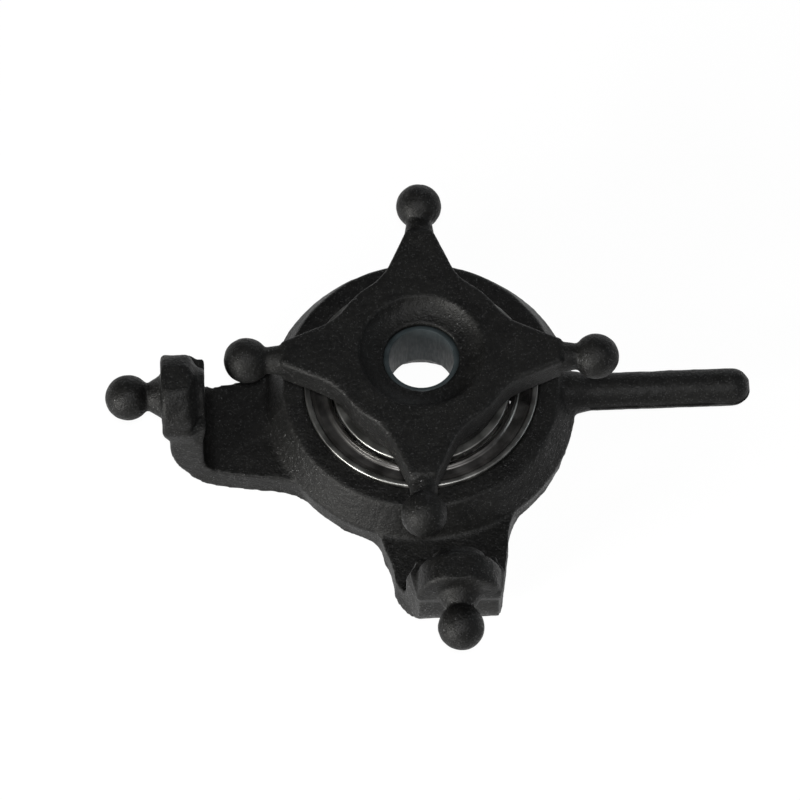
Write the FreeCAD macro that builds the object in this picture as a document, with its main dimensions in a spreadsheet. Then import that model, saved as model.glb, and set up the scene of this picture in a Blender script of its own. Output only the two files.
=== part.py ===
import FreeCAD, Part

# Swashplate of a small helicopter, as an assembly of separate pieces. All sizes are in millimetres.
#
# The origin is the centre of the pivot ball, on the mast's axis. +Z points up along the mast, and +X along the
# anti-rotation pin. From the mast outwards the pieces are: the pivot ball, the star and the retainer that hold it,
# the bearing's inner race, the balls in their cage, the outer race with its two shields and clips, and the outer ring.

import math
import os

import Sketcher

# Driving sizes: name, value, meaning. They fill the spreadsheet, and everything else follows from them.
SIZES = (
    ("pivot_ball_radius", 3.7, "sphere that the plate tilts on"),
    ("pivot_flat_height", 2.4, "ball centre to each flat end"),
    ("mast_bore_radius", 2.5, "hole that slides on the mast"),
    ("mast_bore_chamfer", 0.25, "lead-in at both ends of that hole"),
    ("socket_gap", 0.03, "clearance round the pivot ball"),
    ("socket_split", 0.3, "how far below the ball centre the star's half of the socket ends"),
    ("seat_depth", 2.3, "how far below the ball centre the retainer's half ends"),
    ("press_gap", 0.01, "space between pressed pieces"),
    ("seat_gap", 0.05, "space above a pressed plug"),
    ("rim_radius", 2.9, "hole in the bottom of the star's dish"),
    ("rim_height", 2.7, "height of that hole's edge"),
    ("dish_radius", 4.8, "edge of the dish in the star's top"),
    ("dish_curve", 2.4, "curve of the dish's wall"),
    ("plate_top", 3.7, "top face of the star's plate"),
    ("plate_thickness", 2.7, "thickness of the star's plate"),
    ("disc_overhang", 0.7, "how far the plate's round middle passes the hub's shoulder"),
    ("star_turn", -1.5, "angle of the star's first arm, degrees"),
    ("star_arm_reach", 10.7, "end face of a star arm"),
    ("star_arm_tip", 1.0, "half width of a star arm at its end"),
    ("star_arm_taper", 24.0, "angle between an arm's side and its middle line, degrees"),
    ("star_arm_hollow", 4.5, "hollow curve between an arm and the disc"),
    ("star_edge", 0.2, "chamfer of the plate's edges"),
    ("link_ball_radius", 1.75, "ball studs of the star"),
    ("link_ball_reach", 13.34, "their distance from the mast's axis"),
    ("link_ball_height", 2.45, "their height"),
    ("link_neck_radius", 1.0, "neck under a link ball"),
    ("link_neck_root", 1.3, "neck where it leaves the arm"),
    ("shoulder_inset", 0.55, "edge of the inner race that the hub's shoulder leaves free"),
    ("bearing_top", -1.5, "top face of the bearing"),
    ("bearing_width", 4.0, "width of the bearing"),
    ("bearing_bore", 6.0, "radius of the bearing's hole"),
    ("bearing_section", 3.0, "bearing from its hole to its outside"),
    ("race_share", 0.283, "thickness of each race, as a share of the bearing's section"),
    ("ball_share", 0.65, "diameter of the balls, as a share of the bearing's section"),
    ("bearing_ball_count", 12, "number of bearing balls"),
    ("groove_gap", 0.04, "space between a ball and its groove"),
    ("cage_gap", 0.05, "space between a ball and its pocket"),
    ("cage_land_gap", 0.15, "space between the cage and each race"),
    ("cage_crown", 0.35, "cage above the ball centres"),
    ("cage_base", 1.3, "cage below the ball centres"),
    ("race_chamfer", 0.15, "corners of the races"),
    ("recess_lip", 0.45, "outer race round the recess for a shield"),
    ("recess_depth", 0.53, "depth of that recess"),
    ("shield_thickness", 0.2, "sheet of a shield"),
    ("shield_step", 0.12, "how far a shield is pressed in"),
    ("shield_step_width", 0.5, "inner band of a shield that is pressed in"),
    ("shield_run_gap", 0.15, "space between a shield and the inner race"),
    ("shield_gap", 0.03, "space round a shield"),
    ("clip_thickness", 0.18, "height of a shield clip"),
    ("clip_width", 0.28, "width of a shield clip"),
    ("clip_opening", 16.0, "open part of a clip, degrees"),
    ("hub_wall", 1.0, "hub's wall between the inner race and the retainer's plug"),
    ("hub_recess", 0.1, "hub's end above the retainer's flange"),
    ("retainer_overlap", 0.05, "how far the retainer's flange passes the inner race"),
    ("retainer_flange", 1.25, "thickness of that flange"),
    ("retainer_edge", 0.3, "chamfer of that flange"),
    ("skirt_radius", 4.6, "mouth of the retainer's flare"),
    ("ring_wall", 1.7, "ring's wall round the bearing, at its top"),
    ("ring_flare", 1.25, "how much thicker that wall is at the level of the arms"),
    ("ring_foot_taper", 0.35, "how much thinner than there the wall is at its foot"),
    ("ring_drop", 0.25, "how far the ring's top lies below the bearing's"),
    ("ring_bottom", -6.85, "underside of the ring"),
    ("ring_edge", 0.2, "chamfer of the ring's top edge"),
    ("race_seat_width", 0.65, "ledge under the outer race"),
    ("servo_arm_turn", 180.0, "angle of the first servo arm, degrees"),
    ("servo_arm_offset", 2.05, "how far each arm's middle line passes beside the mast's axis"),
    ("servo_arm_spread", 90.0, "angle between the two servo arms, degrees"),
    ("web_thickness", 2.4, "flat part of a servo arm"),
    ("web_half_width", 4.1, "half width of that part beside the ring"),
    ("web_flare", 6.0, "hollow curve from the arm into the ring"),
    ("web_flare_sink", 0.15, "how far inside the ring's foot that curve ends"),
    ("wall_inside", 17.35, "inner face of an arm's end wall"),
    ("wall_thickness", 2.55, "thickness of that wall"),
    ("wall_half_width", 3.0, "half width of the wall at its outer face"),
    ("elbow_outside", 5.0, "outer curve between web and wall"),
    ("elbow_inside", 1.5, "inner curve between web and wall"),
    ("servo_ball_radius", 1.75, "ball studs of the servo arms"),
    ("servo_ball_reach", 22.45, "their distance along the arm"),
    ("servo_ball_height", 1.6, "their height"),
    ("servo_neck_radius", 1.0, "neck under a servo ball"),
    ("servo_neck_root", 1.7, "neck where it leaves the wall"),
    ("crown_radius", 2.95, "round crown of the wall above its ball"),
    ("crown_edge", 0.25, "chamfer of the crown's outer edge"),
    ("crown_slope", 1.0, "sloped inner edge of the crown"),
    ("pin_height", -4.0, "axis of the anti-rotation pin"),
    ("pin_radius", 1.45, "straight part of the pin"),
    ("pin_root_radius", 1.9, "pin where it leaves the ring"),
    ("pin_straight_start", 13.0, "where the straight part starts"),
    ("pin_end", 25.4, "free end of the pin"),
    ("pin_nose", 1.35, "rounding of that end"),
)

XY = "XY_Plane"
XZ = "XZ_Plane"
YZ = "YZ_Plane"
LEFT = 1
RIGHT = -1
TOUCH = 1e-6
STAR_ARMS = 4
SERVO_ARMS = 2


class Dim:
    """A size that knows its number and its formula in the spreadsheet's names."""

    def __init__(self, value, text):
        self.value = value
        self.text = text

    def __add__(self, other):
        other = dim(other)
        return Dim(self.value + other.value, f"({self.text} + {other.text})")

    def __sub__(self, other):
        other = dim(other)
        return Dim(self.value - other.value, f"({self.text} - {other.text})")

    def __mul__(self, other):
        other = dim(other)
        return Dim(self.value * other.value, f"({self.text} * {other.text})")

    def __truediv__(self, other):
        other = dim(other)
        return Dim(self.value / other.value, f"({self.text} / {other.text})")

    def __neg__(self):
        return Dim(-self.value, f"(-1 * {self.text})")

    def __rsub__(self, other):
        return dim(other) - self


def dim(size):
    """Return a size as a Dim, also when it is a plain number."""
    return size if isinstance(size, Dim) else Dim(float(size), repr(float(size)))


def root(size):
    """Square root of a size."""
    return Dim(math.sqrt(size.value), f"sqrt({size.text})")


def sine(angle):
    """Sine of an angle in degrees."""
    return Dim(math.sin(math.radians(angle.value)), f"sin({angle.text} * 1 deg)")


def cosine(angle):
    """Cosine of an angle in degrees."""
    return Dim(math.cos(math.radians(angle.value)), f"cos({angle.text} * 1 deg)")


class SizeSheet:
    """The spreadsheet, with each driving size as an attribute."""

    def __init__(self, document, label, rows):
        self.sheet = document.addObject("Spreadsheet::Sheet", label)
        for row, (name, value, meaning) in enumerate(rows, 1):
            self.sheet.set(f"A{row}", name)
            self.sheet.set(f"B{row}", str(value))
            self.sheet.set(f"C{row}", meaning)
            self.sheet.setAlias(f"B{row}", name)
            setattr(self, name, Dim(float(value), f"{label}.{name}"))


class FormulaSheet:
    """A second spreadsheet, for sizes that are worked out once and used in many places."""

    def __init__(self, document, label):
        self.label = label
        self.rows = 0
        self.sheet = document.addObject("Spreadsheet::Sheet", label)

    def keep(self, name, size):
        """Write a formula into the sheet and return a Dim that refers to it by name."""
        self.rows += 1
        self.sheet.set(f"A{self.rows}", name)
        self.sheet.set(f"B{self.rows}", f"={size.text}")
        self.sheet.setAlias(f"B{self.rows}", name)
        return Dim(size.value, f"{self.label}.{name}")


doc = FreeCAD.newDocument("swashplate")
d = SizeSheet(doc, "sizes", SIZES)
worked_out = FormulaSheet(doc, "worked_out")

socket_radius = worked_out.keep("socket_radius", d.pivot_ball_radius + d.socket_gap)
bearing_bottom = worked_out.keep("bearing_bottom", d.bearing_top - d.bearing_width)
bearing_middle = worked_out.keep("bearing_middle", d.bearing_top - d.bearing_width / 2)
plate_bottom = worked_out.keep("plate_bottom", d.plate_top - d.plate_thickness)
web_top = worked_out.keep("web_top", d.ring_bottom + d.web_thickness)
wall_outside = worked_out.keep("wall_outside", d.wall_inside + d.wall_thickness)
bearing_radius = worked_out.keep("bearing_radius", d.bearing_bore + d.bearing_section)
ball_radius = worked_out.keep("ball_radius", d.bearing_section * d.ball_share / 2)
pitch_radius = worked_out.keep("pitch_radius", d.bearing_bore + d.bearing_section / 2)
groove_radius = worked_out.keep("groove_radius", ball_radius + d.groove_gap)
inner_land = worked_out.keep("inner_land", d.bearing_bore + d.bearing_section * d.race_share)
outer_land = worked_out.keep("outer_land", bearing_radius - d.bearing_section * d.race_share)
recess_radius = worked_out.keep("recess_radius", bearing_radius - d.recess_lip)
shoulder_radius = worked_out.keep("shoulder_radius", inner_land - d.shoulder_inset)
plug_radius = worked_out.keep("plug_radius", d.bearing_bore - d.hub_wall)
retainer_radius = worked_out.keep("retainer_radius", inner_land + d.retainer_overlap)
disc_radius = worked_out.keep("disc_radius", shoulder_radius + d.disc_overhang)
ring_radius = worked_out.keep("ring_radius", bearing_radius + d.ring_wall)
waist_radius = worked_out.keep("waist_radius", ring_radius + d.ring_flare)
foot_radius = worked_out.keep("foot_radius", waist_radius - d.ring_foot_taper)
ring_top = worked_out.keep("ring_top", d.bearing_top - d.ring_drop)


def leg(long_side, short_side):
    """Other short side of a right-angled triangle."""
    return root(long_side * long_side - short_side * short_side)


# --- Sketches -------------------------------------------------------------------------------------------------------


def new_body(name):
    """A body whose label is the name of the piece."""
    body = doc.addObject("PartDesign::Body", name)
    body.Label = name
    return body


def origin_feature(body, role):
    """One of the body's own origin planes or axes."""
    return next(feature for feature in body.Origin.OriginFeatures if feature.Role == role)


def new_sketch(body, name, plane, across=None, up=None, out=None):
    """A sketch on an origin plane of the body, moved in the plane (across, up) or out of it."""
    sketch = body.newObject("Sketcher::SketchObject", name)
    sketch.AttachmentSupport = [(origin_feature(body, plane), "")]
    sketch.MapMode = "FlatFace"
    for axis, move in (("x", across), ("y", up), ("z", out)):
        if move is not None:
            sketch.setExpression(f"AttachmentOffset.Base.{axis}", move.text)
    return sketch


def point(corner):
    """Vector of a corner in a sketch's plane."""
    return FreeCAD.Vector(corner[0].value, corner[1].value, 0)


def arc_between(start, end, side, radius):
    """Arc from start to end, less than half a turn, whose centre lies to the left or right of that way."""
    chord = end - start
    middle = (start + end) * 0.5
    to_left = FreeCAD.Vector(-chord.y, chord.x, 0).normalize()
    rise = math.sqrt(max(radius ** 2 - (chord.Length / 2) ** 2, 0.0))
    centre = middle + to_left * (rise * side)
    first, last = (start, end) if side == LEFT else (end, start)
    angles = [math.atan2(tip.y - centre.y, tip.x - centre.x) for tip in (first, last)]
    if angles[1] < angles[0]:
        angles[1] += 2 * math.pi
    circle = Part.Circle(centre, FreeCAD.Vector(0, 0, 1), radius)
    return Part.ArcOfCircle(circle, angles[0], angles[1])


def bind(sketch, constraint, size):
    """Add a constraint with a number and bind that number to its formula."""
    index = sketch.addConstraint(constraint)
    sketch.setExpression(f"Constraints[{index}]", size.text)


def hold_corner(sketch, line, end, corner):
    """Fix one end of a line at a corner: on an axis where the coordinate is 0, by a size elsewhere."""
    for kind, axis, size in (("DistanceX", -2, corner[0]), ("DistanceY", -1, corner[1])):
        if size.value == 0:
            sketch.addConstraint(Sketcher.Constraint("PointOnObject", line, end, axis))
        else:
            bind(sketch, Sketcher.Constraint(kind, line, end, size.value), size)


def outline(sketch, corners, arcs=None):
    """Draw a closed outline through the corners.

    arcs gives the sides that aren't straight: the number of the side, where its centre lies, and its radius.
    """
    arcs = arcs or {}
    corners = [(dim(across), dim(up)) for across, up in corners]
    sides = []
    for number, corner in enumerate(corners):
        start = point(corner)
        end = point(corners[(number + 1) % len(corners)])
        if number in arcs:
            side, radius = arcs[number]
            line = sketch.addGeometry(arc_between(start, end, side, radius.value), False)
            bind(sketch, Sketcher.Constraint("Radius", line, radius.value), radius)
            sides.append((line, 1, 2) if side == LEFT else (line, 2, 1))
        else:
            line = sketch.addGeometry(Part.LineSegment(start, end), False)
            sides.append((line, 1, 2))
    for number, (line, start, end) in enumerate(sides):
        next_line, next_start, _ = sides[(number + 1) % len(sides)]
        sketch.addConstraint(Sketcher.Constraint("Coincident", line, end, next_line, next_start))
        hold_corner(sketch, line, start, corners[number])


def round_hole(sketch, radius):
    """Add a circle round the sketch's origin."""
    circle = sketch.addGeometry(Part.Circle(FreeCAD.Vector(), FreeCAD.Vector(0, 0, 1), radius.value), False)
    sketch.addConstraint(Sketcher.Constraint("Coincident", circle, 3, -1, 1))
    bind(sketch, Sketcher.Constraint("Radius", circle, radius.value), radius)


# --- Features -------------------------------------------------------------------------------------------------------


def turn(body, sketch, cut=False, axis="V_Axis", angle=None):
    """Turn a sketch about one of its own axes, adding to the body or cutting it."""
    kind = "PartDesign::Groove" if cut else "PartDesign::Revolution"
    feature = body.newObject(kind, sketch.Name + "_turned")
    feature.Profile = sketch
    feature.ReferenceAxis = (sketch, [axis])
    feature.Angle = 360
    if angle is not None:
        feature.setExpression("Angle", angle.text)
    return feature


def pad(body, sketch, length, both_ways=False):
    """Raise a sketch out of its plane."""
    feature = body.newObject("PartDesign::Pad", sketch.Name + "_raised")
    feature.Profile = sketch
    feature.SideType = "Symmetric" if both_ways else "One side"
    feature.setExpression("Length", length.text)
    return feature


def pocket(body, sketch, length, both_ways=False):
    """Cut a sketch out of the body, along its plane's normal or both ways."""
    feature = body.newObject("PartDesign::Pocket", sketch.Name + "_cut")
    feature.Profile = sketch
    feature.SideType = "Symmetric" if both_ways else "One side"
    feature.Reversed = not both_ways
    feature.setExpression("Length", length.text)
    return feature


def repeat_round(body, name, features, count, angle):
    """Repeat features about the Z axis."""
    pattern = body.newObject("PartDesign::PolarPattern", name)
    pattern.Originals = features
    pattern.Axis = (origin_feature(body, "Z_Axis"), [""])
    pattern.setExpression("Angle", angle.text)
    pattern.setExpression("Occurrences", count.text)
    body.Tip = pattern
    return pattern


def chamfer_edges(body, name, size, wanted):
    """Chamfer those edges of the body that wanted picks."""
    doc.recompute()
    base = body.Tip
    edges = [f"Edge{number}" for number, edge in enumerate(base.Shape.Edges, 1) if wanted(edge)]
    feature = body.newObject("PartDesign::Chamfer", name)
    feature.Base = (base, edges)
    feature.setExpression("Size", size.text)
    return feature


def reach(edge):
    """Smallest distance of an edge's ends and middle from the mast's axis."""
    middle = edge.valueAt((edge.FirstParameter + edge.LastParameter) / 2)
    spots = [vertex.Point for vertex in edge.Vertexes] + [middle]
    return min(math.hypot(spot.x, spot.y) for spot in spots)


def is_level(edge, height):
    """Whether an edge lies flat at a height."""
    box = edge.BoundBox
    return abs(box.ZMin - height.value) < TOUCH and abs(box.ZMax - height.value) < TOUCH


# --- Pieces ---------------------------------------------------------------------------------------------------------


def make_pivot_ball():
    """Ball with two flats and the mast's hole through it."""
    body = new_body("pivot_ball")
    flat = d.pivot_flat_height
    flat_edge = leg(d.pivot_ball_radius, flat)
    bore = d.mast_bore_radius
    mouth = bore + d.mast_bore_chamfer
    inside = flat - d.mast_bore_chamfer
    sketch = new_sketch(body, "pivot_ball_section", XZ)
    outline(
        sketch,
        [(flat_edge, -flat), (flat_edge, flat), (mouth, flat), (bore, inside), (bore, -inside), (mouth, -flat)],
        {0: (LEFT, d.pivot_ball_radius)},
    )
    turn(body, sketch)
    return body


def star_quarter():
    """Corners of a quarter of the star's outline, from one arm's tip to the next, and the hollow's radius.

    The arm's side runs from the tip's corner towards the disc. A hollow curve touches both that side and the disc.
    Across (sine, cosine) of the taper the side lies at a fixed distance from the mast's axis, and along the side the
    hollow's centre lies where its distance from the axis is the sum of the two radii.
    """
    along = (-cosine(d.star_arm_taper), sine(d.star_arm_taper))
    across = (sine(d.star_arm_taper), cosine(d.star_arm_taper))
    offset = d.star_arm_reach * across[0] + d.star_arm_tip * across[1]
    side_offset = worked_out.keep("side_offset", offset)
    centre_radius = worked_out.keep("hollow_centre_radius", disc_radius + d.star_arm_hollow)
    run = worked_out.keep("side_run", -leg(centre_radius, side_offset + d.star_arm_hollow))
    side_end = [run * along[axis] + side_offset * across[axis] for axis in (0, 1)]
    centre = [side_end[axis] + d.star_arm_hollow * across[axis] for axis in (0, 1)]
    disc_start = [centre[axis] * disc_radius / centre_radius for axis in (0, 1)]
    side_x = worked_out.keep("side_end_x", side_end[0])
    side_y = worked_out.keep("side_end_y", side_end[1])
    disc_x = worked_out.keep("disc_start_x", disc_start[0])
    disc_y = worked_out.keep("disc_start_y", disc_start[1])
    return [
        (d.star_arm_reach, d.star_arm_tip),
        (side_x, side_y),
        (disc_x, disc_y),
        (disc_y, disc_x),
        (side_y, side_x),
        (d.star_arm_tip, d.star_arm_reach),
    ]


def quarter_turn(corner):
    """The corner a quarter turn further round."""
    return (-corner[1], corner[0])


def star_outline(sketch):
    """Four arms round the disc, as one outline."""
    corners = []
    arcs = {}
    quarter = star_quarter()
    for _ in range(STAR_ARMS):
        first = len(corners)
        arcs[first + 1] = (RIGHT, d.star_arm_hollow)
        arcs[first + 2] = (LEFT, disc_radius)
        arcs[first + 3] = (RIGHT, d.star_arm_hollow)
        corners += quarter
        quarter = [quarter_turn(corner) for corner in quarter]
    outline(sketch, corners, arcs)


def make_star():
    """Rotating plate: hub, dished plate with four arms, and four ball studs."""
    body = new_body("star")

    hub = new_sketch(body, "hub_section", XZ)
    rim_low = leg(socket_radius, d.rim_radius)
    split_radius = leg(socket_radius, d.socket_split)
    tube = d.bearing_bore - d.press_gap
    counterbore = plug_radius + d.press_gap
    hub_end = bearing_bottom + d.hub_recess
    outline(
        hub,
        [
            (d.rim_radius, rim_low),
            (d.rim_radius, d.rim_height),
            (d.dish_radius, d.plate_top),
            (shoulder_radius, d.plate_top),
            (shoulder_radius, d.bearing_top),
            (tube, d.bearing_top),
            (tube, hub_end),
            (counterbore, hub_end),
            (counterbore, -d.socket_split),
            (split_radius, -d.socket_split),
        ],
        {1: (LEFT, d.dish_curve), 9: (LEFT, socket_radius)},
    )
    turn(body, hub)

    plate = new_sketch(body, "plate_outline", XY, out=plate_bottom)
    star_outline(plate)
    round_hole(plate, (d.dish_radius + shoulder_radius) / 2)
    pad(body, plate, d.plate_thickness)

    def is_rim(edge):
        outside = reach(edge) > shoulder_radius.value + TOUCH
        return outside and (is_level(edge, d.plate_top) or is_level(edge, plate_bottom))

    chamfer_edges(body, "plate_edges", d.star_edge, is_rim)

    stud = new_sketch(body, "link_stud_section", XZ, up=d.link_ball_height)
    neck_end = d.link_ball_reach - leg(d.link_ball_radius, d.link_neck_radius)
    neck_start = d.star_arm_reach - d.link_neck_radius
    outline(
        stud,
        [
            (neck_start, 0),
            (d.link_ball_reach + d.link_ball_radius, 0),
            (neck_end, d.link_neck_radius),
            (neck_start, d.link_neck_root),
        ],
        {1: (LEFT, d.link_ball_radius)},
    )
    studs = turn(body, stud, axis="H_Axis")
    repeat_round(body, "four_link_studs", [studs], dim(STAR_ARMS), dim(360))
    body.Placement.Rotation.Axis = FreeCAD.Vector(0, 0, 1)
    body.setExpression("Placement.Rotation.Angle", d.star_turn.text)
    return body


def make_hub_retainer():
    """Flanged plug that closes the ball's socket from below and clamps the inner race."""
    body = new_body("hub_retainer")
    sketch = new_sketch(body, "retainer_section", XZ)
    plug_top = -(d.socket_split + d.seat_gap)
    flange_bottom = bearing_bottom - d.retainer_flange
    edge = d.retainer_edge
    outline(
        sketch,
        [
            (leg(socket_radius, plug_top), plug_top),
            (plug_radius, plug_top),
            (plug_radius, bearing_bottom),
            (retainer_radius, bearing_bottom),
            (retainer_radius, flange_bottom + edge),
            (retainer_radius - edge, flange_bottom),
            (d.skirt_radius, flange_bottom),
            (leg(socket_radius, d.seat_depth), -d.seat_depth),
        ],
        {7: (LEFT, socket_radius)},
    )
    turn(body, sketch)
    return body


def make_inner_race():
    """Bearing ring on the hub, with the balls' groove outside."""
    body = new_body("inner_race")
    sketch = new_sketch(body, "inner_race_section", XZ, up=bearing_middle)
    half = d.bearing_width / 2
    cut = d.race_chamfer
    groove = leg(groove_radius, pitch_radius - inner_land)
    outline(
        sketch,
        [
            (d.bearing_bore, -half + cut),
            (d.bearing_bore + cut, -half),
            (inner_land - cut, -half),
            (inner_land, -half + cut),
            (inner_land, -groove),
            (inner_land, groove),
            (inner_land, half - cut),
            (inner_land - cut, half),
            (d.bearing_bore + cut, half),
            (d.bearing_bore, half - cut),
        ],
        {4: (RIGHT, groove_radius)},
    )
    turn(body, sketch)
    return body


def make_outer_race():
    """Bearing ring in the outer ring, with the balls' groove inside and a recess for a shield at each end."""
    body = new_body("outer_race")
    sketch = new_sketch(body, "outer_race_section", XZ, up=bearing_middle)
    half = d.bearing_width / 2
    cut = d.race_chamfer
    groove = leg(groove_radius, outer_land - pitch_radius)
    floor = half - d.recess_depth
    outline(
        sketch,
        [
            (bearing_radius, half - cut),
            (bearing_radius - cut, half),
            (recess_radius, half),
            (recess_radius, floor),
            (outer_land, floor),
            (outer_land, groove),
            (outer_land, -groove),
            (outer_land, -floor),
            (recess_radius, -floor),
            (recess_radius, -half),
            (bearing_radius - cut, -half),
            (bearing_radius, -half + cut),
        ],
        {5: (RIGHT, groove_radius)},
    )
    turn(body, sketch)
    return body


def make_shield(name, side):
    """Stamped cover that rests on the floor of the outer race's recess: side is 1 above the balls, -1 below."""
    body = new_body(name)
    sketch = new_sketch(body, name + "_section", XZ, up=bearing_middle)
    low = d.bearing_width / 2 - d.recess_depth + d.shield_gap
    high = low + d.shield_thickness
    rim = recess_radius - d.shield_gap
    hole = inner_land + d.shield_run_gap
    slope_start = hole + d.shield_step_width
    slope_end = slope_start - d.shield_step
    corners = [
        (rim, low),
        (rim, high),
        (slope_start, high),
        (slope_end, high - d.shield_step),
        (hole, high - d.shield_step),
        (hole, low - d.shield_step),
        (slope_end, low - d.shield_step),
        (slope_start, low),
    ]
    outline(sketch, [(across, up * side) for across, up in corners])
    turn(body, sketch)
    return body


def make_shield_clip(name, side):
    """Open spring ring that holds a shield in its recess."""
    body = new_body(name)
    sketch = new_sketch(body, name + "_section", XZ, up=bearing_middle)
    low = d.bearing_width / 2 - d.recess_depth + d.shield_gap * 2 + d.shield_thickness
    high = low + d.clip_thickness
    rim = recess_radius - d.shield_gap
    corners = [(rim, low), (rim, high), (rim - d.clip_width, high), (rim - d.clip_width, low)]
    outline(sketch, [(across, up * side) for across, up in corners])
    turn(body, sketch, angle=360 - d.clip_opening)
    return body


def make_ball_cage():
    """Crown cage: a ring with a round pocket for each ball, open at the top."""
    body = new_body("ball_cage")
    sketch = new_sketch(body, "cage_section", XZ, up=bearing_middle)
    inside = inner_land + d.cage_land_gap
    outside = outer_land - d.cage_land_gap
    outline(
        sketch,
        [(inside, -d.cage_base), (outside, -d.cage_base), (outside, d.cage_crown), (inside, d.cage_crown)],
    )
    turn(body, sketch)
    ball_hole = new_sketch(body, "ball_pocket", YZ, up=bearing_middle)
    round_hole(ball_hole, ball_radius + d.cage_gap)
    hole = pocket(body, ball_hole, bearing_radius)
    repeat_round(body, "ball_pockets", [hole], d.bearing_ball_count, dim(360))
    return body


def make_bearing_balls():
    """The balls, evenly spaced on their pitch circle."""
    balls = []
    count = int(d.bearing_ball_count.value)
    for number in range(count):
        name = f"bearing_ball_{number + 1:02d}"
        ball = doc.addObject("Part::Sphere", name)
        ball.Label = name
        ball.setExpression("Radius", ball_radius.text)
        angle = dim(360) / d.bearing_ball_count * number
        ball.setExpression("Placement.Base.x", (pitch_radius * cosine(angle)).text)
        ball.setExpression("Placement.Base.y", (pitch_radius * sine(angle)).text)
        ball.setExpression("Placement.Base.z", bearing_middle.text)
        balls.append(ball)
    return balls


def flare_corners(side):
    """Two corners of the arm's plan on one side (1 or -1): on the ring's foot, and on the arm's edge.

    The hollow curve between them touches both. Its centre lies a flare's radius beyond the arm's edge, and from the
    mast's axis as far as the sum of the foot's radius and its own.
    """
    foot = foot_radius - d.web_flare_sink
    name = "left" if side == LEFT else "right"
    edge = worked_out.keep(f"{name}_edge", d.servo_arm_offset + d.web_half_width * side)
    centre_up = edge + d.web_flare * side
    centre_across = worked_out.keep(f"{name}_flare_across", leg(foot + d.web_flare, centre_up))
    share = foot / (foot + d.web_flare)
    on_ring = (
        worked_out.keep(f"{name}_ring_across", centre_across * share),
        worked_out.keep(f"{name}_ring_up", centre_up * share),
    )
    return on_ring, (centre_across, edge)


def add_servo_arm(body):
    """One L-shaped arm along the body's X axis, beside the mast's axis; the list of its features, for the pattern.

    Its block is drawn in plan, narrowing towards its end and flaring into the ring's foot, and cut to an L from the
    side. A round crown with the ball stud stands on its end wall.
    """
    left_ring, left_edge = flare_corners(LEFT)
    right_ring, right_edge = flare_corners(RIGHT)
    full_height = d.servo_ball_height - d.ring_bottom
    middle = d.servo_arm_offset

    plan = new_sketch(body, "servo_arm_plan", XY, out=d.ring_bottom)
    outline(
        plan,
        [
            (0, right_ring[1]),
            right_ring,
            right_edge,
            (wall_outside, middle - d.wall_half_width),
            (wall_outside, middle + d.wall_half_width),
            left_edge,
            left_ring,
            (0, left_ring[1]),
        ],
        {1: (RIGHT, d.web_flare), 5: (RIGHT, d.web_flare)},
    )
    block = pad(body, plan, full_height)

    width = left_ring[1] * 2 + 1
    above = d.servo_ball_height + 1
    inner = new_sketch(body, "servo_arm_hollow", XZ)
    outline(
        inner,
        [
            (-waist_radius, web_top),
            (d.wall_inside - d.elbow_inside, web_top),
            (d.wall_inside, web_top + d.elbow_inside),
            (d.wall_inside, above),
            (-waist_radius, above),
        ],
        {1: (LEFT, d.elbow_inside)},
    )
    hollow = pocket(body, inner, width, both_ways=True)

    beyond = wall_outside + 1
    under = d.ring_bottom - 1
    outer = new_sketch(body, "servo_arm_elbow", XZ)
    outline(
        outer,
        [
            (wall_outside - d.elbow_outside, d.ring_bottom),
            (wall_outside - d.elbow_outside, under),
            (beyond, under),
            (beyond, d.ring_bottom + d.elbow_outside),
            (wall_outside, d.ring_bottom + d.elbow_outside),
        ],
        {4: (RIGHT, d.elbow_outside)},
    )
    elbow = pocket(body, outer, width, both_ways=True)

    stud = new_sketch(body, "servo_stud_section", XZ, up=d.servo_ball_height, out=-middle)
    neck_end = d.servo_ball_reach - leg(d.servo_ball_radius, d.servo_neck_radius)
    outline(
        stud,
        [
            (d.wall_inside, 0),
            (d.servo_ball_reach + d.servo_ball_radius, 0),
            (neck_end, d.servo_neck_radius),
            (wall_outside, d.servo_neck_root),
            (wall_outside, d.crown_radius - d.crown_edge),
            (wall_outside - d.crown_edge, d.crown_radius),
            (d.wall_inside + d.crown_slope, d.crown_radius),
            (d.wall_inside, d.crown_radius - d.crown_slope),
        ],
        {1: (LEFT, d.servo_ball_radius)},
    )
    crown = turn(body, stud, axis="H_Axis")
    return [block, hollow, elbow, crown]


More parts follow.
